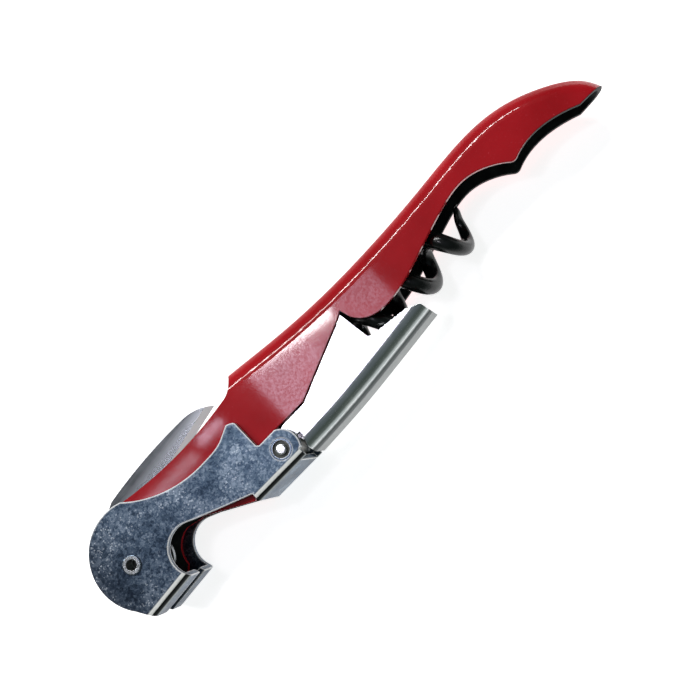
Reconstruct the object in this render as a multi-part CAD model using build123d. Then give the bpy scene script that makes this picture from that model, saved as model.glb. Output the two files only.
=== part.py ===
from build123d import *
import math
import os

# Waiters corkscrew with a two-step lever, folded shut and lying on its side.
# Millimetres. While drawing, the head pivot is the origin, X runs along the
# handle to the tail, Y points to the handle's spine and Z is across the tool,
# +Z being the side that faces up. At the end everything is moved so that the
# origin is the middle of the footprint on the table.

# ----- sheet metal and widths across the tool -------------------------------
handle_width = 11.6
handle_sheet = 1.0
handle_bend = 3.0            # outside radius where spine turns into wall
lever1_width = 14.3
lever1_sheet = 1.1
lever1_bend = 1.5
lever2_width = 11.6
lever2_sheet = 1.0
lever2_bend = 2.9

handle_inside = handle_width / 2 - handle_sheet
lever1_inside = lever1_width / 2 - lever1_sheet
lever2_inside = lever2_width / 2 - lever2_sheet

# ----- pivots ----------------------------------------------------------------
head_pivot = (0.0, 0.0)
mid_pivot = (32.9, -4.55)
worm_pivot = (37.2, 1.2)
running_gap = 0.05           # radial play of every turning joint

# ----- handle outline ---------------------------------------------------------
spine_points = [
    (-12.0, 13.2), (14.0, 13.2), (34.6, 11.85), (44.0, 10.65), (53.0, 9.85), (62.0, 9.6),
    (71.0, 9.8), (80.0, 10.35), (88.0, 11.05), (95.0, 11.15), (101.0, 10.15), (107.3, 7.6),
    (111.2, 5.05), (113.1, 2.9), (114.3, 0.0), (115.2, -3.0),
]
taper_start_x = 78.0         # from here the handle gets narrower towards the tail
taper_arc = 235.0
ear_radius = 6.8             # handle ears around the head pivot
tail_notch_round = 1.3       # rounding of the notch in the wall near the tail

# ----- first lever outline ------------------------------------------------------
lobe_centre = (2.55, 0.0)
lobe_radius = 9.8
web1_y = -8.1                # outer face of the first lever's back
web1_start_x = 24.0
web1_end_x = 34.0
lug1_radius = 3.45
lip_left = (-3.1, -9.3)      # outer face of the turned-in hook lips
lip_right = (6.2, -8.5)
lip_slot = 3.0               # open slot between the two lips

# ----- second lever ---------------------------------------------------------------
lug2_radius = 2.1
swing_clearance = 4.15       # clear radius so the lever can swing past the first
web2_start_x = 36.3
web2_points = [
    (26.0, -8.75), (38.0, -8.5), (48.0, -8.0), (57.0, -7.15), (68.0, -5.95), (76.0, -5.0),
]

# ----- knife ----------------------------------------------------------------------
knife_thickness = 1.0
knife_tip = (28.2, 10.75)
tang_radius = 5.3
bevel_height = 1.2
bevel_depth = 0.4            # off each face, so the edge is left 0.2 thick

# ----- worm -----------------------------------------------------------------------
wire_radius = 1.45
eye_wire_radius = 1.6        # the eye at the hub is pressed a little thicker
coil_radius = 3.1
coil_pitch = 8.65
worm_tilt = 3.05             # degrees the worm lies open when the tool is shut
coil_offset = -2.2           # middle of the coil below the middle of the eye
front_crossing_x = 76.6 - worm_pivot[0]
last_turn = 1.03             # where the point ends; turn 0 is where a strand faces the spine
coil_turns = 3.17            # turns of even thickness
point_turns = 1.1            # last turns, which end in the point
point_sections = (           # place along the last turns and radius of the wire there
    (0.0, 1.45), (0.345, 1.45), (0.64, 1.1), (0.87, 0.65), (1.0, 0.15),
)

# ----- rivets, bushes and washers ---------------------------------------------------
head_rivet_radius = 1.45
head_rivet_bore = 1.0
head_rivet_bore_depth = 2.6
head_rivet_rim = 1.8
rim_height = 0.25
far_head_radius = 2.3        # countersunk heads on the side that lies down
far_head_depth = 0.85
mid_rivet_radius = 1.05
mid_head_radius = 1.9
mid_head_depth = 0.8
mid_dome_radius = 0.95
mid_dome_height = 0.3
mid_ring_depth = 0.3
worm_pin_radius = 1.3
washer_radius = 4.2
washer_thickness = 0.4
head_bush_radius = 3.4
mid_tube_radius = 1.75
worm_bush_radius = 2.6
shim_thickness = 0.2
shim_radius = 4.6
mid_shim_radius = 2.0
face_gap = 0.05              # gap between faces that slide past each other


def across(face, half_height):
    """Slab of the given side outline, centred across the tool."""
    return extrude(face, amount=half_height, both=True)


def both_walls(face, inner, outer):
    """Two equal plates of one outline, one on each side of the tool."""
    near = Pos(0, 0, inner) * extrude(face, amount=outer - inner)
    return near + mirror(near, about=Plane.XY)


def peg(centre, radius, z_low, z_high):
    """Round bar across the tool."""
    height = z_high - z_low
    return Pos(centre[0], centre[1], z_low) * Cylinder(
        radius, height, align=(Align.CENTER, Align.CENTER, Align.MIN))


def ring(centre, outer_radius, inner_radius, z_low, z_high):
    """Bush or washer across the tool."""
    return peg(centre, outer_radius, z_low, z_high) - peg(
        centre, inner_radius, z_low - 1, z_high + 1)


def countersink(centre, face_z, depth, wide_radius, narrow_radius):
    """Cone whose wide end lies in the plane z = face_z and narrows inwards."""
    middle_z = face_z - math.copysign(depth / 2, face_z)
    bottom, top = (narrow_radius, wide_radius) if face_z > 0 else (wide_radius, narrow_radius)
    return Pos(centre[0], centre[1], middle_z) * Cone(bottom, top, depth)


def inset(curve, distance):
    """The same curve moved sideways; positive is to the left of its direction."""
    samples = 30
    points = []
    for i in range(samples + 1):
        here = curve @ (i / samples)
        heading = curve % (i / samples)
        points.append(here + Vector(-heading.Y, heading.X, 0) * distance)
    return Spline(*points)


def side_block(curve, closing_y, plan, bend):
    """Block between a curved back and a far straight side, cut to the plan, back edges bent."""
    start = curve @ 0
    end = curve @ 1
    closing = Polyline(end, (end.X, closing_y), (start.X, closing_y), start)
    block = across(make_face([curve.edge(), *closing.edges()]), 20) & plan
    return fillet(block.edges().filter_by(GeomType.BSPLINE), bend)


def straight_plan(half_width):
    """Block as wide as the part, for a part of one width all along."""
    return Box(400, 100, 2 * half_width)


def tapered_plan(half_width, arc_radius):
    """Block as wide as the handle, with both sides curving in towards the tail."""
    end_x = 120.0
    middle_x = (taper_start_x + end_x) / 2

    def side_z(x):
        return half_width - arc_radius + math.sqrt(arc_radius ** 2 - (x - taper_start_x) ** 2)

    with BuildSketch() as plan:
        with BuildLine():
            Line((-40, half_width), (taper_start_x, half_width))
            ThreePointArc((taper_start_x, half_width), (middle_x, side_z(middle_x)),
                          (end_x, side_z(end_x)))
            Line((end_x, side_z(end_x)), (end_x, -side_z(end_x)))
            ThreePointArc((end_x, -side_z(end_x)), (middle_x, -side_z(middle_x)),
                          (taper_start_x, -half_width))
            Polyline((taper_start_x, -half_width), (-40, -half_width), (-40, half_width))
        make_face()
    return Rot(90, 0, 0) * across(plan.sketch, 50)


def folded_channel(back_points, open_side, plans, sheet, bend):
    """Sheet folded to a channel; open_side is +1 or -1 for the way it opens in Y."""
    back = Spline(*back_points)
    outer_plan, inner_plan = plans
    outside = side_block(back, 30 * open_side, outer_plan, bend)
    inside = side_block(inset(back, open_side * sheet), 31 * open_side, inner_plan, bend - sheet)
    return outside - inside


# ----- handle -----------------------------------------------------------------------
def handle_wall_face():
    """Side outline of the handle wall; its top runs clear above the spine."""
    with BuildSketch() as wall:
        with BuildLine():
            Line((35.0, 18.0), (34.3, 11.2))
            ThreePointArc((34.3, 11.2), (33.1, 9.7), (31.0, 8.9))
            Spline((31.0, 8.9), (21.0, 8.05), (6.0, 9.2))
            Line((6.0, 9.2), (-2.17, 6.44))
            ThreePointArc((-2.17, 6.44), (-ear_radius * 0.9, -ear_radius * 0.43589), (2.0, -6.5))
            Line((2.0, -6.5), (3.5, -5.0))
            ThreePointArc((3.5, -5.0), (4.6, -2.0), (8.0, -0.2))
            Polyline((8.0, -0.2), (11.4, -1.0), (23.2, -7.4), (27.6, -1.2), (41.0, -1.2),
                     (54.2, 4.1))
            ThreePointArc((54.2, 4.1), (55.5, 4.68), (56.4, 5.2))
            Line((56.4, 5.2), (56.95, 3.2))
            Spline((56.95, 3.2), (59.3, 0.8), (64.0, 0.15), (71.0, 1.7), (80.3, 4.6), (86.8, 5.5),
                   (91.0, 4.15), (94.7, 1.4))
            Spline((94.7, 1.4), (100.0, 2.65), (105.0, 2.0), (109.0, 0.6))
            Polyline((109.0, 0.6), (118.0, 0.6), (118.0, 18.0), (35.0, 18.0))
        make_face()
    notch_corner = wall.sketch.vertices().sort_by_distance(Vector(94.7, 1.4, 0))[0]
    return fillet(notch_corner, tail_notch_round)


def make_handle():
    outer_plan = tapered_plan(handle_width / 2, taper_arc)
    inner_plan = tapered_plan(handle_inside, taper_arc - handle_sheet)
    channel = folded_channel(spine_points, -1, (outer_plan, inner_plan), handle_sheet, handle_bend)
    shell = channel & across(handle_wall_face(), handle_width)
    shell -= peg(head_pivot, head_rivet_radius, -20, 20)
    shell -= peg(worm_pivot, worm_pin_radius, -20, 20)
    return shell


# ----- first lever ----------------------------------------------------------------------
def lever1_plate_face():
    """Side outline of the first lever, down to the outer faces of lips and back."""
    cx, cy = lobe_centre
    lug_right = (mid_pivot[0] + 2.7, mid_pivot[1] - 2.15)
    with BuildSketch() as plate:
        with BuildLine():
            Line(lip_left, (cx - 7.6, cy - 6.187))
            ThreePointArc((cx - 7.6, cy - 6.187), (cx - lobe_radius, cy), (cx + 3.3, cy + 9.228))
            ThreePointArc((cx + 3.3, cy + 9.228), (12.2, 5.2), (21.5, 3.5))
            Spline((21.5, 3.5), (25.9, 3.95), (28.9, 5.25), tangents=[(1, 0), (1, 0.35)])
            Polyline((28.9, 5.25), (30.15, 4.6), (30.15, -1.4), (34.3, -1.4))
            ThreePointArc((34.3, -1.4), (mid_pivot[0] + lug1_radius, mid_pivot[1]), lug_right)
            Line(lug_right, (35.2, web1_y))
            Polyline((35.2, web1_y), (web1_start_x, web1_y), (web1_start_x, -6.35))
            ThreePointArc((web1_start_x, -6.35), (18.2, -4.1), (11.6, -1.35))
            ThreePointArc((11.6, -1.35), (6.55, -2.7), (6.0, -7.9))
            Line((6.0, -7.9), lip_right)
            Line(lip_right, lip_left)
        make_face()
    corners = plate.sketch.vertices().filter_by(
        lambda v: 28 < v.X < 31 and v.Y > 4 or (abs(v.X - 30.15) < 0.01 and v.Y < 0))
    return fillet(corners, 0.7)


def turned_flange(start, end, inner_end_z):
    """Sheet turned in from the near plate: quarter bend, then flat to inner_end_z."""
    along = Vector(end[0] - start[0], end[1] - start[1], 0)
    inward = Vector(-along.Y, along.X, 0).normalized()
    half = lever1_width / 2
    centre_u = lever1_bend
    centre_z = half - lever1_bend
    inner_bend = lever1_bend - lever1_sheet
    diagonal = math.sqrt(0.5)
    with BuildSketch(Plane(origin=(start[0], start[1], 0), x_dir=inward, z_dir=along)) as profile:
        with BuildLine():
            ThreePointArc(
                (centre_u, half),
                (centre_u - lever1_bend * diagonal, centre_z + lever1_bend * diagonal),
                (0, centre_z))
            Polyline((0, centre_z), (0, inner_end_z), (lever1_sheet, inner_end_z),
                     (lever1_sheet, centre_z))
            ThreePointArc(
                (lever1_sheet, centre_z),
                (centre_u - inner_bend * diagonal, centre_z + inner_bend * diagonal),
                (centre_u, half - lever1_sheet))
            Line((centre_u, half - lever1_sheet), (centre_u, half))
        make_face()
    return extrude(profile.sketch, amount=along.length)


def make_lever1():
    outline = lever1_plate_face()
    half = lever1_width / 2
    plates = both_walls(outline, lever1_inside, half)
    # room for the two bends: the flat plates stop one bend radius short of them
    lip_direction = Vector(lip_right[0] - lip_left[0], lip_right[1] - lip_left[1])
    lip_angle = math.degrees(math.atan2(lip_direction.Y, lip_direction.X))
    lip_zone = Pos(lip_left[0], lip_left[1]) * Rot(0, 0, lip_angle) * Box(
        40, 2 * lever1_bend, 40)
    web_zone = Pos((web1_start_x + 36) / 2, web1_y) * Box(
        36 - web1_start_x + 0.001, 2 * lever1_bend, 40)
    plates -= lip_zone
    plates -= web_zone
    far_left = Vector(*lip_left) - lip_direction.normalized() * 3
    far_right = Vector(*lip_right) + lip_direction.normalized() * 3
    lip = turned_flange((far_left.X, far_left.Y), (far_right.X, far_right.Y), lip_slot / 2)
    lips = (lip + mirror(lip, about=Plane.XY)) & across(outline, 20)
    web = turned_flange((web1_start_x, web1_y), (35.2, web1_y), 0)
    web = web + mirror(web, about=Plane.XY)
    beyond_web = Pos(web1_end_x + 5, web1_y) * Box(10, 6, 2 * (lever1_inside - 0.1))
    web -= beyond_web
    lever = plates + lips + web
    lever -= peg(head_pivot, head_rivet_radius + running_gap, -20, 20)
    lever -= countersink(head_pivot, -half, far_head_depth + 0.1,
                         far_head_radius + running_gap, head_rivet_radius + running_gap)
    lever -= peg(mid_pivot, mid_rivet_radius, -20, 20)
    lever -= countersink(mid_pivot, half, mid_head_depth, mid_head_radius, mid_rivet_radius)
    lever -= countersink(mid_pivot, -half, mid_head_depth, mid_head_radius, mid_rivet_radius)
    return lever


# ----- second lever ------------------------------------------------------------------------
def lever2_plate_face():
    """Side outline of the second lever without its hinge lug."""
    with BuildSketch() as plate:
        with BuildLine():
            Polyline((33.4, -2.55), (35.6, -1.6), (40.9, -1.6), (54.1, 3.68), (55.95, 4.6))
            Polyline((55.95, 4.6), (56.75, -1.7), (64.6, -2.75), (66.9, -3.9), (67.9, -9.5))
            Polyline((67.9, -9.5), (31.0, -9.5), (33.4, -2.55))
        make_face()
    notch_corner = plate.sketch.vertices().filter_by(lambda v: 56 < v.X < 58 and v.Y < 0)
    return fillet(notch_corner, 1.0)


def make_lever2():
    plans = (straight_plan(lever2_width / 2), straight_plan(lever2_inside))
    channel = folded_channel(web2_points, 1, plans, lever2_sheet, lever2_bend)
    arm = channel & across(lever2_plate_face(), lever2_width)
    # everything below the hinge that would meet the first lever's back is cut away
    hinge_x, hinge_y = mid_pivot
    below_hinge = Pos(hinge_x - 5, hinge_y - 9.9) * Box(30, 20, 40)
    arm -= peg(mid_pivot, swing_clearance, -20, 20) & below_hinge
    arm -= Pos(web2_start_x - 10, hinge_y - 12) * Box(20, 20, 40)
    lug = Pos(*mid_pivot) * Circle(lug2_radius)
    lever = arm + both_walls(lug, lever2_inside, lever2_width / 2)
    lever -= peg(mid_pivot, mid_rivet_radius + running_gap, -20, 20)
    return lever


# ----- knife -------------------------------------------------------------------------------
def make_knife():
    tang_left = (-tang_radius * 0.9, tang_radius * 0.43589)
    tang_right = (tang_radius * 0.95, tang_radius * 0.31225)
    edge_heel = (9.5, 6.6)
    with BuildSketch() as blade:
        with BuildLine():
            ThreePointArc(knife_tip, (26.0, 12.2), (22.5, 13.1))
            ThreePointArc((22.5, 13.1), (12.5, 13.0), (2.5, 11.95))
            ThreePointArc((2.5, 11.95), (-2.2, 8.4), tang_left)
            ThreePointArc(tang_left, (0, -tang_radius), tang_right)
            Line(tang_right, edge_heel)
            ThreePointArc(edge_heel, (18.5, 8.75), knife_tip)
        make_face()
    knife = across(blade.sketch, knife_thickness / 2)
    ground = knife.faces().sort_by_distance(Vector(18.5, 8.75, 0))[0]
    rims = ground.edges().filter_by(lambda e: abs(abs(e.center().Z) - knife_thickness / 2) < 0.01)
    knife = chamfer(rims, bevel_depth, bevel_height, reference=ground)
    knife -= peg(head_pivot, head_rivet_radius + running_gap, -5, 5)
    return knife


# ----- worm --------------------------------------------------------------------------------
def coil_point(turn):
    """Centre of the wire, measured from the hub, with the worm along X."""
    angle = 2 * math.pi * turn
    x = front_crossing_x + coil_pitch * (turn - 0.25)
    return Vector(x, coil_offset + coil_radius * math.cos(angle), coil_radius * math.sin(angle))


def coil_heading(turn):
    """Direction in which the wire runs at coil_point(turn)."""
    angle = 2 * math.pi * turn
    around = 2 * math.pi * coil_radius
    return Vector(coil_pitch, -around * math.sin(angle), around * math.cos(angle)).normalized()


def make_worm():
    # turn 0.25 is the uppermost strand closest to the point
    shank_angle = math.radians(-30)
    taper_start = last_turn - point_turns
    first_turn = taper_start - coil_turns
    steps_per_turn = 20
    body_steps = int(coil_turns * steps_per_turn)
    body_points = [
        coil_point(first_turn + coil_turns * i / body_steps) for i in range(body_steps + 1)]
    eye_ring_radius = worm_pin_radius + running_gap + eye_wire_radius
    shank_start = Vector(eye_ring_radius * math.cos(shank_angle),
                         eye_ring_radius * math.sin(shank_angle), 0)
    shank_end = Vector(body_points[0].X - 4.0, coil_offset, 0)
    shank = Spline(shank_start, shank_end, tangents=[(1, 0, 0), (1, 0, 0)])
    run_in = Spline(shank_end, body_points[0], tangents=[(1, 0, 0), coil_heading(first_turn)])
    coil = Spline(*body_points)
    path = Wire([shank.edge(), run_in.edge(), coil.edge()])
    section = Plane(origin=shank_start, z_dir=(1, 0, 0)) * Circle(wire_radius)
    body = sweep(section, path=path)
    taper_steps = 12
    taper_points = [
        coil_point(taper_start + point_turns * i / taper_steps) for i in range(taper_steps + 1)]
    taper_path = Spline(*taper_points,
                        tangents=[coil_heading(taper_start), coil_heading(last_turn)])
    rings = [
        Plane(origin=taper_path @ u, z_dir=taper_path % u) * Circle(radius)
        for u, radius in point_sections]
    point = sweep(sections=rings, path=taper_path, multisection=True)
    eye = Torus(eye_ring_radius, eye_wire_radius)
    worm = eye + body + point
    return Pos(worm_pivot[0], worm_pivot[1], 0) * Rot(0, 0, worm_tilt) * worm


# ----- rivets -------------------------------------------------------------------------------
def make_head_rivet():
    half = lever1_width / 2
    rim_low = half + face_gap
    rivet = peg(head_pivot, head_rivet_radius, -half, rim_low + rim_height)
    rim = peg(head_pivot, head_rivet_rim, rim_low, rim_low + rim_height)
    rivet += fillet(rim.edges().group_by(Axis.Z)[-1], 0.2)
    rivet += countersink(head_pivot, -half, far_head_depth, far_head_radius, head_rivet_radius)
    rivet -= peg(head_pivot, head_rivet_bore, half - head_rivet_bore_depth, half + 2)
    return rivet


def make_mid_rivet():
    half = lever1_width / 2
    rivet = peg(mid_pivot, mid_rivet_radius, -half, half)
    rivet += countersink(mid_pivot, half, mid_head_depth, mid_head_radius, mid_rivet_radius)
    rivet += countersink(mid_pivot, -half, mid_head_depth, mid_head_radius, mid_rivet_radius)
    rivet -= ring(mid_pivot, 1.5, mid_dome_radius, half - mid_ring_depth, half + 1)
    dome = peg(mid_pivot, mid_dome_radius, half - 0.1, half + mid_dome_height)
    rivet += fillet(dome.edges().group_by(Axis.Z)[-1], 0.25)
    return rivet


def make_pieces():
    half_knife = knife_thickness / 2
    washer_low = half_knife + face_gap
    washer_high = washer_low + washer_thickness
    head_hole = head_rivet_radius + running_gap
    handle_half = handle_width / 2
    worm_bush_low = eye_wire_radius + face_gap
    pieces = {
        "handle_shell": make_handle(),
        "first_lever": make_lever1(),
        "second_lever": make_lever2(),
        "knife_blade": make_knife(),
        "worm": make_worm(),
        "head_rivet": make_head_rivet(),
        "mid_rivet": make_mid_rivet(),
        "worm_pin": peg(worm_pivot, worm_pin_radius, -handle_half, handle_half),
        "mid_spacer_tube": ring(mid_pivot, mid_tube_radius, mid_rivet_radius + running_gap,
                                -lever2_inside, lever2_inside),
        "knife_spring_washer": ring(head_pivot, washer_radius, head_rivet_radius,
                                    washer_low, washer_high),
        "knife_flat_washer": ring(head_pivot, washer_radius, head_rivet_radius,
                                  -washer_high, -washer_low),
        "head_bush_near": ring(head_pivot, head_bush_radius, head_rivet_radius,
                               washer_high, handle_inside),
        "head_bush_far": ring(head_pivot, head_bush_radius, head_rivet_radius,
                              -handle_inside, -washer_high),
        "head_shim_near": ring(head_pivot, shim_radius, head_rivet_radius,
                               handle_half, handle_half + shim_thickness),
        "head_shim_far": ring(head_pivot, shim_radius, head_rivet_radius,
                              -handle_half - shim_thickness, -handle_half),
        "mid_shim_near": ring(mid_pivot, mid_shim_radius, mid_rivet_radius,
                              lever1_inside - shim_thickness, lever1_inside),
        "mid_shim_far": ring(mid_pivot, mid_shim_radius, mid_rivet_radius,
                             -lever1_inside, -lever1_inside + shim_thickness),
        "worm_bush_near": ring(worm_pivot, worm_bush_radius, worm_pin_radius,
                               worm_bush_low, handle_inside),
        "worm_bush_far": ring(worm_pivot, worm_bush_radius, worm_pin_radius,
                              -handle_inside, -worm_bush_low),
    }
    return pieces


pieces = make_pieces()
bounds = Compound(children=[Compound(p.solids()) for p in pieces.values()]).bounding_box()
to_table = Pos(-bounds.center().X, -bounds.center().Y, -bounds.min.Z)
print("size", bounds.size)
for name, centre in (("head", head_pivot), ("mid", mid_pivot), ("worm", worm_pivot)):
    print(name, "pivot", round(centre[0] - bounds.center().X, 4),
          round(centre[1] - bounds.center().Y, 4), round(-bounds.min.Z, 4))

os.makedirs("parts", exist_ok=True)
for name, shape in pieces.items():
    solids = shape.solids()
    print(name, len(solids), round(sum(s.volume for s in solids), 2))
    moved = to_table * (solids[0] if len(solids) == 1 else Compound(solids))
    export_step(moved, f"parts/{name}.step")
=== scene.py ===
import math

import bpy
from mathutils import Matrix, Vector


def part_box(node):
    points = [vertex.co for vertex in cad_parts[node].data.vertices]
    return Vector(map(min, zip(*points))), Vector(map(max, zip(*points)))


# Waiters corkscrew, folded shut and lying on its side on a pale floor. Metres.

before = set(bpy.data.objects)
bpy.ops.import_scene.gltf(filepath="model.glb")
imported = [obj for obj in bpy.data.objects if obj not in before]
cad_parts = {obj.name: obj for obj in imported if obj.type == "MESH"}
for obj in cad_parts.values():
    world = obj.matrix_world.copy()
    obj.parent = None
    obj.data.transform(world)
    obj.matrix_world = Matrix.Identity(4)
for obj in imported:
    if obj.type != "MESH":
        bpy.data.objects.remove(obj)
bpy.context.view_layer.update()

MM = 0.001


def middle(node):
    """Centre of a node's box at rest."""
    low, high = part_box(node)
    return (Vector(low) + Vector(high)) / 2


head_pivot = middle("head_rivet")
mid_pivot = middle("mid_rivet")
across_z = middle("first_lever").z          # plane of symmetry between the two sides
upper_face_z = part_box("first_lever")[1][2]
nose_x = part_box("first_lever")[0][0]
handle_sheet = 1.0 * MM
handle_low, handle_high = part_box("handle_shell")
handle_half = (handle_high[2] - handle_low[2]) / 2


def set_stops(ramp, stops):
    """Give a colour ramp node its (position, colour) stops."""
    elements = ramp.color_ramp.elements
    while len(elements) < len(stops):
        elements.new(0.5)
    for element, (position, colour) in zip(elements, stops):
        element.position = position
        element.color = (*colour, 1)


# ----- building node materials -----------------------------------------------------

class Finish:
    """One procedural material; positions are taken in the part's own frame."""

    def __init__(self, name):
        self.material = bpy.data.materials.new(name)
        self.material.use_nodes = True
        self.tree = self.material.node_tree
        self.shader = self.tree.nodes["Principled BSDF"]
        self.place = self.add("ShaderNodeTexCoord").outputs["Object"]

    def add(self, kind, **settings):
        """New node of this kind, with its properties set."""
        node = self.tree.nodes.new(kind)
        for key, value in settings.items():
            setattr(node, key, value)
        return node

    def feed(self, socket, value):
        """Link an output to a socket, or set the socket to a constant."""
        if isinstance(value, bpy.types.NodeSocket):
            self.tree.links.new(value, socket)
        else:
            socket.default_value = value

    def fix(self, **values):
        """Constants on the shader, given as Base_Color=..., Roughness=..."""
        for key, value in values.items():
            self.shader.inputs[key.replace("_", " ")].default_value = value

    def use(self, name, value):
        """Link an output to the shader's socket of that name."""
        self.feed(self.shader.inputs[name], value)

    def math(self, operation, a, b=0.0):
        """Result of a math node; a and b are outputs or numbers."""
        node = self.add("ShaderNodeMath", operation=operation)
        self.feed(node.inputs[0], a)
        self.feed(node.inputs[1], b)
        return node.outputs[0]

    def times(self, first, *others):
        """Product of two or more values."""
        for other in others:
            first = self.math("MULTIPLY", first, other)
        return first

    def opposite(self, mask):
        """1 where the mask is 0, and 0 where it is 1."""
        return self.math("SUBTRACT", 1.0, mask)

    def between(self, value, low, high):
        """0 below low, 1 above high and a straight rise between them."""
        node = self.add("ShaderNodeMapRange")
        node.inputs["From Min"].default_value = low
        node.inputs["From Max"].default_value = high
        self.feed(node.inputs["Value"], value)
        return node.outputs["Result"]

    def spread(self, value, low, high):
        """Turn 0..1 into low..high."""
        node = self.add("ShaderNodeMapRange")
        node.inputs["To Min"].default_value = low
        node.inputs["To Max"].default_value = high
        self.feed(node.inputs["Value"], value)
        return node.outputs["Result"]

    def blend(self, amount, first, second, how="MIX"):
        """First colour where amount is 0, second where it is 1."""
        node = self.add("ShaderNodeMix", data_type="RGBA", blend_type=how)
        self.feed(node.inputs["Factor"], amount)
        for socket, colour in ((node.inputs["A"], first), (node.inputs["B"], second)):
            plain = not isinstance(colour, bpy.types.NodeSocket)
            self.feed(socket, (*colour, 1) if plain else colour)
        return node.outputs["Result"]

    def ramp(self, value, stops):
        """Colour that runs through the (position, colour) stops as value rises."""
        node = self.add("ShaderNodeValToRGB")
        set_stops(node, stops)
        self.feed(node.inputs["Fac"], value)
        return node.outputs["Color"]

    def stretched(self, stretch, turn=0.0):
        """The part's own position, scaled per axis, turned about Z first."""
        turned = self.add("ShaderNodeMapping")
        turned.inputs["Rotation"].default_value = (0, 0, turn)
        self.feed(turned.inputs["Vector"], self.place)
        scaled = self.add("ShaderNodeMapping")
        scaled.inputs["Scale"].default_value = stretch
        self.feed(scaled.inputs["Vector"], turned.outputs["Vector"])
        return scaled.outputs["Vector"]

    def noise(self, size, detail=2.0, grain=0.5, place=None):
        """Cloudy noise whose blobs are about size metres across."""
        node = self.add("ShaderNodeTexNoise")
        node.inputs["Scale"].default_value = 1 / size
        node.inputs["Detail"].default_value = detail
        node.inputs["Roughness"].default_value = grain
        self.feed(node.inputs["Vector"], place or self.place)
        return node.outputs["Fac"]

    def crystals(self, size, wobble):
        """A random value for each crystal about size metres across, with uneven borders."""
        shift = self.add("ShaderNodeTexNoise")
        shift.inputs["Scale"].default_value = 2 / size
        self.feed(shift.inputs["Vector"], self.place)
        shifted = self.add("ShaderNodeVectorMath", operation="MULTIPLY_ADD")
        self.feed(shifted.inputs[0], shift.outputs["Color"])
        shifted.inputs[1].default_value = (wobble, wobble, wobble)
        self.feed(shifted.inputs[2], self.place)
        cells = self.add("ShaderNodeTexVoronoi")
        cells.inputs["Scale"].default_value = 1 / size
        cells.inputs["Randomness"].default_value = 1.0
        self.feed(cells.inputs["Vector"], shifted.outputs[0])
        channel = self.add("ShaderNodeSeparateColor")
        self.feed(channel.inputs["Color"], cells.outputs["Color"])
        return channel.outputs["Red"]

    def split(self, vector):
        """The vector's parts, to be had as ["X"], ["Y"] and ["Z"]."""
        node = self.add("ShaderNodeSeparateXYZ")
        self.feed(node.inputs[0], vector)
        return node.outputs

    def soft_normal(self, radius):
        """Normal rounded over the edges, as if they were broken by radius."""
        node = self.add("ShaderNodeBevel", samples=6)
        node.inputs["Radius"].default_value = radius
        return node.outputs["Normal"]

    def edges(self, radius, low, high):
        """1 on sharp edges, 0 on flat faces; low and high set how sharp is sharp."""
        dot = self.add("ShaderNodeVectorMath", operation="DOT_PRODUCT")
        self.feed(dot.inputs[0], self.soft_normal(radius))
        self.feed(dot.inputs[1], self.add("ShaderNodeNewGeometry").outputs["True Normal"])
        return self.between(self.opposite(dot.outputs["Value"]), low, high)

    def bumps(self, height, depth, strength, under=None):
        """Relief of the given depth in metres, on top of the normal given as under."""
        node = self.add("ShaderNodeBump")
        node.inputs["Strength"].default_value = strength
        node.inputs["Distance"].default_value = depth
        self.feed(node.inputs["Height"], height)
        if under:
            self.feed(node.inputs["Normal"], under)
        self.use("Normal", node.outputs["Normal"])

    def facing(self):
        """The face's own direction in the part's frame, as ["X"], ["Y"] and ["Z"]."""
        node = self.add("ShaderNodeTexCoord")
        return self.split(node.outputs["Normal"])

    def from_axis(self, centre):
        """Distance from an axis across the tool through centre."""
        at = self.split(self.place)
        dx = self.math("SUBTRACT", at["X"], centre.x)
        dy = self.math("SUBTRACT", at["Y"], centre.y)
        total = self.math("ADD", self.times(dx, dx), self.times(dy, dy))
        return self.math("SQRT", total)


# ----- the finishes ---------------------------------------------------------------------

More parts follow.
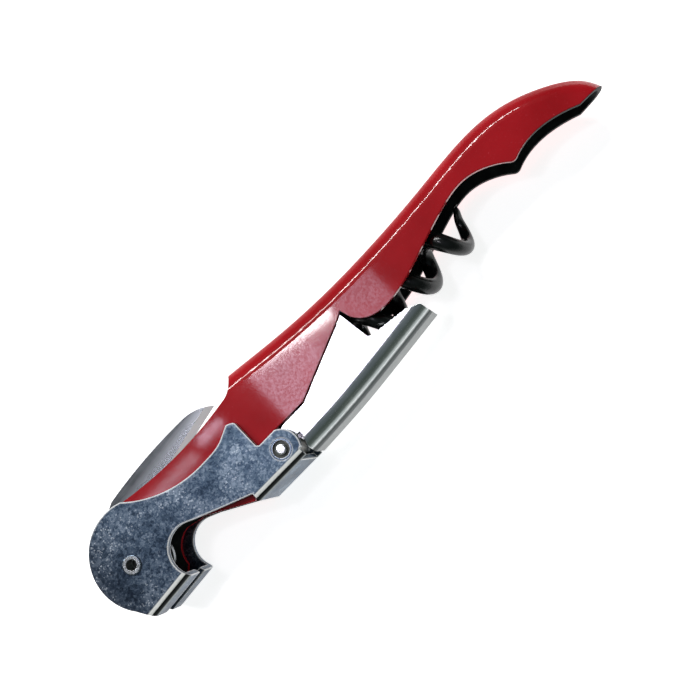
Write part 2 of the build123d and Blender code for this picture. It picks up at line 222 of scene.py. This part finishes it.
def red_paint():
    """Speckled glossy red enamel, dull on the spine; near-black inside the channel and on the
    far cut edge, partly a dark inner finish and partly painted shade.
    """
    f = Finish("red_enamel")
    at = f.split(f.place)
    facing = f.facing()
    off_middle = f.math("SUBTRACT", at["Z"], across_z)
    towards_levers = f.times(facing["Y"], -1.0)

    # Faces inside the channel, and the far wall's cut edge from the notch to the tail: painted
    # shade on the cut edge, a dark inner finish with painted shade inside.
    facing_in = f.times(facing["Z"], f.math("SIGN", off_middle), -1.0)
    wall_inside = f.between(facing_in, 0.25, 0.35)
    between_walls = f.math(
        "LESS_THAN", f.math("ABSOLUTE", off_middle), handle_half - 1.1 * handle_sheet)
    spine_inside = f.times(f.between(towards_levers, 0.25, 0.35), between_walls)
    upright = f.opposite(f.between(f.math("ABSOLUTE", facing["Z"]), 0.2, 0.3))
    notch_x = mid_pivot.x + 24 * MM
    far_cut_edge = f.times(upright, f.between(towards_levers, -0.3, -0.2),
                           f.math("LESS_THAN", off_middle, 0.0),
                           f.between(at["X"], notch_x - 1 * MM, notch_x + 1 * MM))
    inside = f.math("MAXIMUM", f.math("MAXIMUM", wall_inside, spine_inside), far_cut_edge)

    clouds = f.noise(9 * MM, 3.0)
    fleck = f.noise(0.35 * MM, 2.0, 0.7)
    paint = f.ramp(clouds, [(0.3, (0.33, 0.005, 0.009)), (0.7, (0.42, 0.008, 0.014))])
    paint = f.blend(f.between(fleck, 0.66, 0.8), paint, (0.55, 0.05, 0.07))
    clear_of_pin = f.between(f.from_axis(middle("worm_pin")), 1.7 * MM, 1.9 * MM)
    thin = f.times(f.edges(0.3 * MM, 0.03, 0.3), f.between(clouds, 0.35, 0.6), clear_of_pin)
    paint = f.blend(thin, paint, (0.2, 0.006, 0.01))
    # Near-black for those faces: partly a dark inner finish, partly painted shade.
    inner_dark_and_shade = f.ramp(f.noise(2.5 * MM, 4.0),
                   [(0.3, (0.008, 0.008, 0.008)), (0.7, (0.035, 0.040, 0.040))])
    f.use("Base Color", f.blend(inside, paint, inner_dark_and_shade))
    f.use("Roughness", f.math("ADD", f.spread(fleck, 0.30, 0.42), f.times(inside, 0.25)))
    f.fix(Metallic=0.0, Specular_IOR_Level=0.06, Coat_Roughness=0.05, Coat_IOR=1.5)

    dull = f.math("MAXIMUM", inside, f.between(facing["Y"], 0.42, 0.6))
    speckle = f.between(f.noise(0.4 * MM, 2.0), 0.38, 0.62)
    f.use("Coat Weight", f.times(f.spread(dull, 1.0, 0.10), f.spread(speckle, 0.55, 1.0)))

    # The pin is ground flush with the wall, so the rounding of the edges stops there.
    rounded = f.add("ShaderNodeMix", data_type="VECTOR")
    f.feed(rounded.inputs["Factor"], clear_of_pin)
    f.feed(rounded.inputs["A"], f.add("ShaderNodeNewGeometry").outputs["Normal"])
    f.feed(rounded.inputs["B"], f.soft_normal(0.38 * MM))
    peel = f.noise(0.9 * MM, 2.0)
    relief = f.math("ADD", f.times(peel, 0.7), f.times(fleck, 0.3))
    f.bumps(relief, 0.02 * MM, 0.3, rounded.outputs["Result"])
    return f.material


def galvanised():
    """Zinc with fine spangles, painted highlights on its edges, and bends painted dark with a
    bright line as a painted reflection.
    """
    f = Finish("galvanised_steel")
    along = f.split(f.place)["X"]
    facing = f.facing()
    spangle = f.crystals(0.5 * MM, 0.4 * MM)
    fine = f.crystals(0.24 * MM, 0.12 * MM)
    clouds = f.noise(7 * MM, 4.0, 0.6)
    tone = f.math("ADD", f.times(spangle, 0.20), f.times(fine, 0.15))
    tone = f.math("ADD", tone, f.times(clouds, 0.65))
    zinc = f.ramp(tone, [(0.32, (0.024, 0.042, 0.072)), (0.5, (0.086, 0.130, 0.188)),
                         (0.68, (0.25, 0.315, 0.39))])

    # Painted light: the head is painted darker than the end with the notch, standing in for the
    # overhead lights that fall nearer that end.
    painted_falloff = f.ramp(f.between(along, nose_x, nose_x + 42 * MM),
                     [(0.0, (0.28, 0.28, 0.30)), (0.2, (0.66, 0.66, 0.68)),
                      (0.6, (0.72, 0.73, 0.76)), (0.85, (1.0, 1.0, 1.0))])
    zinc = f.blend(1.0, zinc, painted_falloff, "MULTIPLY")
    flecks = f.times(f.between(fine, 0.90, 0.96), f.between(clouds, 0.48, 0.62), 0.5)
    zinc = f.blend(flecks, zinc, (0.60, 0.66, 0.72))

    # Painted reflection: round the bends the zinc goes from bright through black to grey,
    # standing in for the lights, the dark room and the floor seen in them.
    bend = f.times(f.between(f.times(facing["Y"], -1.0), 0.08, 0.14),
                   f.between(facing["Z"], 0.1, 0.2))
    bend_reflection = f.ramp(facing["Z"], [(0.35, (0.20, 0.22, 0.22)), (0.50, (0.010, 0.012, 0.012)),
                                (0.84, (0.010, 0.012, 0.012)), (0.89, (0.95, 0.96, 0.93)),
                                (0.98, (0.95, 0.96, 0.93))])
    zinc = f.blend(bend, zinc, bend_reflection)
    # Painted highlights: the edges, except near the nose, are painted near-white, and so is the
    # bright line on the bends; both are made less metallic.
    edge_highlight = f.times(f.edges(0.5 * MM, 0.010, 0.07), f.opposite(bend),
                     f.between(along, nose_x + 4 * MM, nose_x + 9 * MM))
    pale = f.math("MAXIMUM", edge_highlight, f.times(bend, f.between(facing["Z"], 0.85, 0.89)))
    f.use("Base Color", f.blend(edge_highlight, zinc, (0.95, 0.96, 0.95)))
    f.use("Roughness", f.spread(spangle, 0.34, 0.48))
    f.use("Metallic", f.spread(pale, 0.92, 0.1))
    relief = f.math("ADD", fine, f.times(spangle, 1.5))
    f.bumps(relief, 0.006 * MM, 0.4, f.soft_normal(0.2 * MM))
    return f.material


def bright_plate():
    """Nickel plate with faint polishing lines and smudges; its back is painted dark as a painted
    reflection of the shaded floor.
    """
    f = Finish("nickel_plate")
    lines = f.noise(0.25 * MM, 2.0, 0.6, f.stretched((0.04, 1, 1)))
    smudge = f.noise(5 * MM, 3.0)
    plate = f.ramp(smudge, [(0.3, (0.70, 0.74, 0.75)), (0.7, (0.86, 0.88, 0.88))])
    # Painted reflection: the back faces, turned away from the spine, are painted dark and not
    # metallic, as if mirroring the shaded floor beside the tool.
    back = f.between(f.times(f.facing()["Y"], -1.0), 0.76, 0.86)
    f.use("Base Color", f.blend(back, plate, (0.065, 0.080, 0.080)))
    f.use("Metallic", f.opposite(back))
    f.use("Roughness", f.math("ADD", f.spread(smudge, 0.10, 0.22), f.times(lines, 0.06)))
    f.fix(Specular_IOR_Level=0.2)
    f.bumps(lines, 0.004 * MM, 0.35, f.soft_normal(0.18 * MM))
    return f.material


def blade_steel():
    """Satin steel, ground along the blade, with the bevel at the cutting edge painted bright as
    a highlight.
    """
    f = Finish("satin_blade_steel")
    at = f.split(f.place)
    facing = f.facing()
    grind = f.noise(0.22 * MM, 3.0, 0.6, f.stretched((0.05, 1, 1), -0.1))
    stain = f.noise(3 * MM, 3.0)
    steel = f.ramp(f.math("ADD", f.times(grind, 0.5), f.times(stain, 0.5)),
                   [(0.3, (0.06, 0.065, 0.07)), (0.7, (0.13, 0.14, 0.15))])

    # Beyond a sloping line, towards the cutting edge, the blade is lighter.
    slope = 0.10
    line_from_root = 22 * MM
    line_below_back = 2.6 * MM
    low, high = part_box("knife_blade")
    limit = high[1] - line_below_back - slope * (low[0] + line_from_root)
    height = f.math("SUBTRACT", at["Y"], f.times(at["X"], slope))
    near_edge = f.opposite(f.between(height, limit - 0.3 * MM, limit + 1.8 * MM))
    steel = f.blend(near_edge, steel, (0.34, 0.36, 0.38))
    # Painted highlight: the bevel faces are painted near-white and less metallic, as if they
    # caught the light.
    bevel = f.times(f.between(f.times(facing["Y"], -1.0), 0.15, 0.2),
                    f.between(f.math("ABSOLUTE", facing["Z"]), 0.3, 0.4))
    f.use("Base Color", f.blend(bevel, steel, (0.85, 0.86, 0.87)))
    f.use("Metallic", f.spread(bevel, 1.0, 0.2))
    f.use("Roughness", f.math("SUBTRACT", f.spread(stain, 0.30, 0.42),
                              f.times(near_edge, 0.12)))
    f.bumps(grind, 0.006 * MM, 0.5, f.soft_normal(0.08 * MM))
    return f.material


def black_coat():
    """Thick glossy black coating with small pits and worn spots."""
    f = Finish("black_coating")
    pits = f.noise(0.5 * MM, 3.0, 0.6)
    clouds = f.noise(2.5 * MM, 2.0)
    black = f.ramp(clouds, [(0.3, (0.0015, 0.002, 0.002)), (0.7, (0.005, 0.006, 0.006))])
    worn = f.between(pits, 0.72, 0.78)
    f.use("Base Color", f.blend(worn, black, (0.06, 0.065, 0.065)))
    f.use("Roughness", f.spread(pits, 0.16, 0.32))
    f.fix(Metallic=0.0, Specular_IOR_Level=0.35, Coat_Weight=0.15, Coat_Roughness=0.08)
    f.bumps(pits, 0.05 * MM, 0.5)
    return f.material


def rivet_steel(name, axis_at, ring_from, ring_to):
    """Bright steel, painted dark between two radii, with a grey outer rim."""
    f = Finish(name)
    radius = f.from_axis(axis_at)
    blur = 0.06 * MM
    overlap = 0.02 * MM
    rim_radius = 1.52 * MM
    scuff = f.noise(0.4 * MM, 3.0, 0.6)
    # Painted dark between ring_from and ring_to: painted shade down the head rivet's bore, and a
    # darker ring in the mid rivet's groove.
    recess_dark = f.times(f.between(radius, ring_from - blur, ring_from + overlap),
                    f.opposite(f.between(radius, ring_to - overlap, ring_to + blur)))
    steel = f.ramp(scuff, [(0.3, (0.50, 0.52, 0.53)), (0.7, (0.72, 0.74, 0.74))])
    rim = f.between(radius, rim_radius, rim_radius + 0.08 * MM)
    steel = f.blend(rim, steel, (0.13, 0.17, 0.22))
    f.use("Base Color", f.blend(recess_dark, steel, (0.08, 0.085, 0.08)))
    f.use("Roughness", f.math("ADD", f.spread(scuff, 0.18, 0.34), f.times(recess_dark, 0.3)))
    f.fix(Metallic=1.0)
    f.bumps(scuff, 0.01 * MM, 0.5, f.soft_normal(0.1 * MM))
    return f.material


def turned_steel():
    """Plain steel of the tube, bushes and washers, finely scuffed, with oil stains."""
    f = Finish("turned_steel")
    stain = f.noise(1.5 * MM, 3.0)
    fine = f.noise(0.15 * MM, 2.0)
    f.use("Base Color", f.ramp(stain, [(0.3, (0.30, 0.29, 0.27)), (0.7, (0.52, 0.52, 0.50))]))
    f.use("Roughness", f.spread(fine, 0.28, 0.45))
    f.fix(Metallic=1.0)
    f.bumps(fine, 0.006 * MM, 0.4, f.soft_normal(0.08 * MM))
    return f.material


def shim_plastic():
    """Milky plastic of the thin shims."""
    f = Finish("milky_shim_plastic")
    clouds = f.noise(2 * MM, 2.0)
    f.use("Base Color", f.ramp(clouds, [(0.3, (0.55, 0.54, 0.50)), (0.7, (0.68, 0.67, 0.63))]))
    f.use("Roughness", f.spread(clouds, 0.42, 0.55))
    f.fix(Metallic=0.0)
    f.bumps(f.noise(0.2 * MM), 0.01 * MM, 0.3)
    return f.material


def paper():
    """White paper under the tool, glowing so that shadows on it stay faint."""
    f = Finish("white_paper")
    tooth = f.noise(0.6 * MM, 3.0)
    clouds = f.noise(50 * MM)
    f.use("Base Color", f.ramp(clouds, [(0.3, (0.90, 0.90, 0.90)), (0.7, (0.93, 0.93, 0.93))]))
    f.use("Roughness", f.spread(tooth, 0.85, 0.95))
    f.fix(Metallic=0.0, Emission_Color=(1.0, 1.0, 1.0, 1.0), Emission_Strength=0.82)
    f.bumps(tooth, 0.02 * MM, 0.3)
    return f.material


def dress(material, *nodes):
    """Give the named nodes this material only."""
    for node in nodes:
        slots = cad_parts[node].data.materials
        slots.clear()
        slots.append(material)


dress(red_paint(), "handle_shell", "worm_pin")
dress(galvanised(), "first_lever")
dress(bright_plate(), "second_lever")
dress(blade_steel(), "knife_blade")
dress(black_coat(), "worm")
bore_radius = 0.95 * MM
ring_radius = 1.5 * MM
dress(rivet_steel("head_rivet_steel", head_pivot, 0.0, bore_radius), "head_rivet")
dress(rivet_steel("mid_rivet_steel", mid_pivot, bore_radius, ring_radius), "mid_rivet")
dress(turned_steel(), "mid_spacer_tube", "knife_spring_washer", "knife_flat_washer",
      "head_bush_near", "head_bush_far", "worm_bush_near", "worm_bush_far")
dress(shim_plastic(), "head_shim_near", "head_shim_far", "mid_shim_near", "mid_shim_far")


# ----- floor, light and camera -------------------------------------------------------------

def make_floor():
    """Plain floor, level with the underside of the tool."""
    bpy.ops.mesh.primitive_plane_add(size=4, location=(0, 0, 0))
    floor = bpy.context.object
    floor.name = "floor"
    floor.data.materials.append(paper())


def add_softbox(name, location, size, brightness, colour=(1.0, 1.0, 1.0), turn=0.0, target=None):
    """Rectangular light, facing straight down or at target.

    Brightness is how bright its face looks, turn is in degrees in its own plane.
    """
    data = bpy.data.lights.new(name, "AREA")
    data.shape = "RECTANGLE"
    data.size, data.size_y = size
    data.energy = brightness * math.pi * size[0] * size[1]
    data.color = colour
    light = bpy.data.objects.new(name, data)
    bpy.context.scene.collection.objects.link(light)
    light.location = location
    below = (location[0], location[1], 0)
    direction = Vector(target or below) - Vector(location)
    light.rotation_euler = direction.to_track_quat("-Z", "Y").to_euler()
    light.rotation_euler.rotate_axis("Z", math.radians(turn))


def make_lights():
    """A long key behind the spine; the rest are small and give single highlights."""
    cool = (0.80, 0.86, 1.0)
    rosy = (0.90, 0.80, 1.0)
    add_softbox("key", (-0.05, 0.45, 0.60), (0.85, 0.06), 32, target=(-0.05, 0, 0))
    add_softbox("overhead", (-0.10, 0.125, 0.61), (0.05, 0.09), 7.5, rosy)
    add_softbox("tail_side", (-0.045, 0.125, 0.61), (0.06, 0.09), 4.5, rosy)
    add_softbox("strip", (-0.085, 0.146, 0.60), (0.068, 0.018), 42, turn=-13)
    add_softbox("neck_strip", (-0.225, 0.132, 0.60), (0.08, 0.008), 6, cool)
    add_softbox("neck_spot", (-0.168, 0.136, 0.60), (0.022, 0.006), 14, rosy)


def make_world():
    """Dark studio with a bright band low down, dimmed on the spine's side."""
    world = bpy.data.worlds.new("studio")
    bpy.context.scene.world = world
    world.use_nodes = True
    tree = world.node_tree
    background = tree.nodes["Background"]
    coordinates = tree.nodes.new("ShaderNodeTexCoord")
    split = tree.nodes.new("ShaderNodeSeparateXYZ")
    ramp = tree.nodes.new("ShaderNodeValToRGB")
    behind = tree.nodes.new("ShaderNodeMapRange")
    tree.links.new(coordinates.outputs["Generated"], split.inputs[0])
    tree.links.new(split.outputs["Z"], ramp.inputs["Fac"])
    tree.links.new(split.outputs["Y"], behind.inputs["Value"])
    tree.links.new(behind.outputs["Result"], background.inputs["Strength"])
    tree.links.new(ramp.outputs["Color"], background.inputs["Color"])
    stops = [(0.0, (0.60, 0.63, 0.62)), (0.20, (0.55, 0.58, 0.57)), (0.40, (0.11, 0.13, 0.12)),
             (0.75, (0.06, 0.075, 0.065)), (0.95, (0.11, 0.13, 0.14))]
    set_stops(ramp, stops)
    behind.inputs["From Min"].default_value = 0.05
    behind.inputs["From Max"].default_value = 0.35
    behind.inputs["To Min"].default_value = 1.0
    behind.inputs["To Max"].default_value = 0.25


def make_camera():
    """Almost straight above, a little towards the open side and the tail."""
    head = Vector((head_pivot.x, head_pivot.y, upper_face_z))
    eye = head + Vector((73.81, -38.41, 200.36)) * MM
    target = head + Vector((52.34, 0.21, -7.3)) * MM
    roll = math.radians(44.74)
    data = bpy.data.cameras.new("camera")
    data.lens = 62.74
    data.sensor_width = 36.0
    data.clip_start = 0.005
    camera = bpy.data.objects.new("camera", data)
    bpy.context.scene.collection.objects.link(camera)
    forward = (target - eye).normalized()
    spine_up = Vector((0, 1, 0))
    up = (spine_up - forward * spine_up.dot(forward)).normalized()
    right = forward.cross(up)
    rolled_up = up * math.cos(roll) + right * math.sin(roll)
    rolled_right = forward.cross(rolled_up)
    axes = Matrix((rolled_right, rolled_up, -forward)).transposed()
    camera.matrix_world = Matrix.Translation(eye) @ axes.to_4x4()
    bpy.context.scene.camera = camera


make_floor()
make_lights()
make_world()
make_camera()

bpy.context.scene.view_settings.view_transform = "Standard"
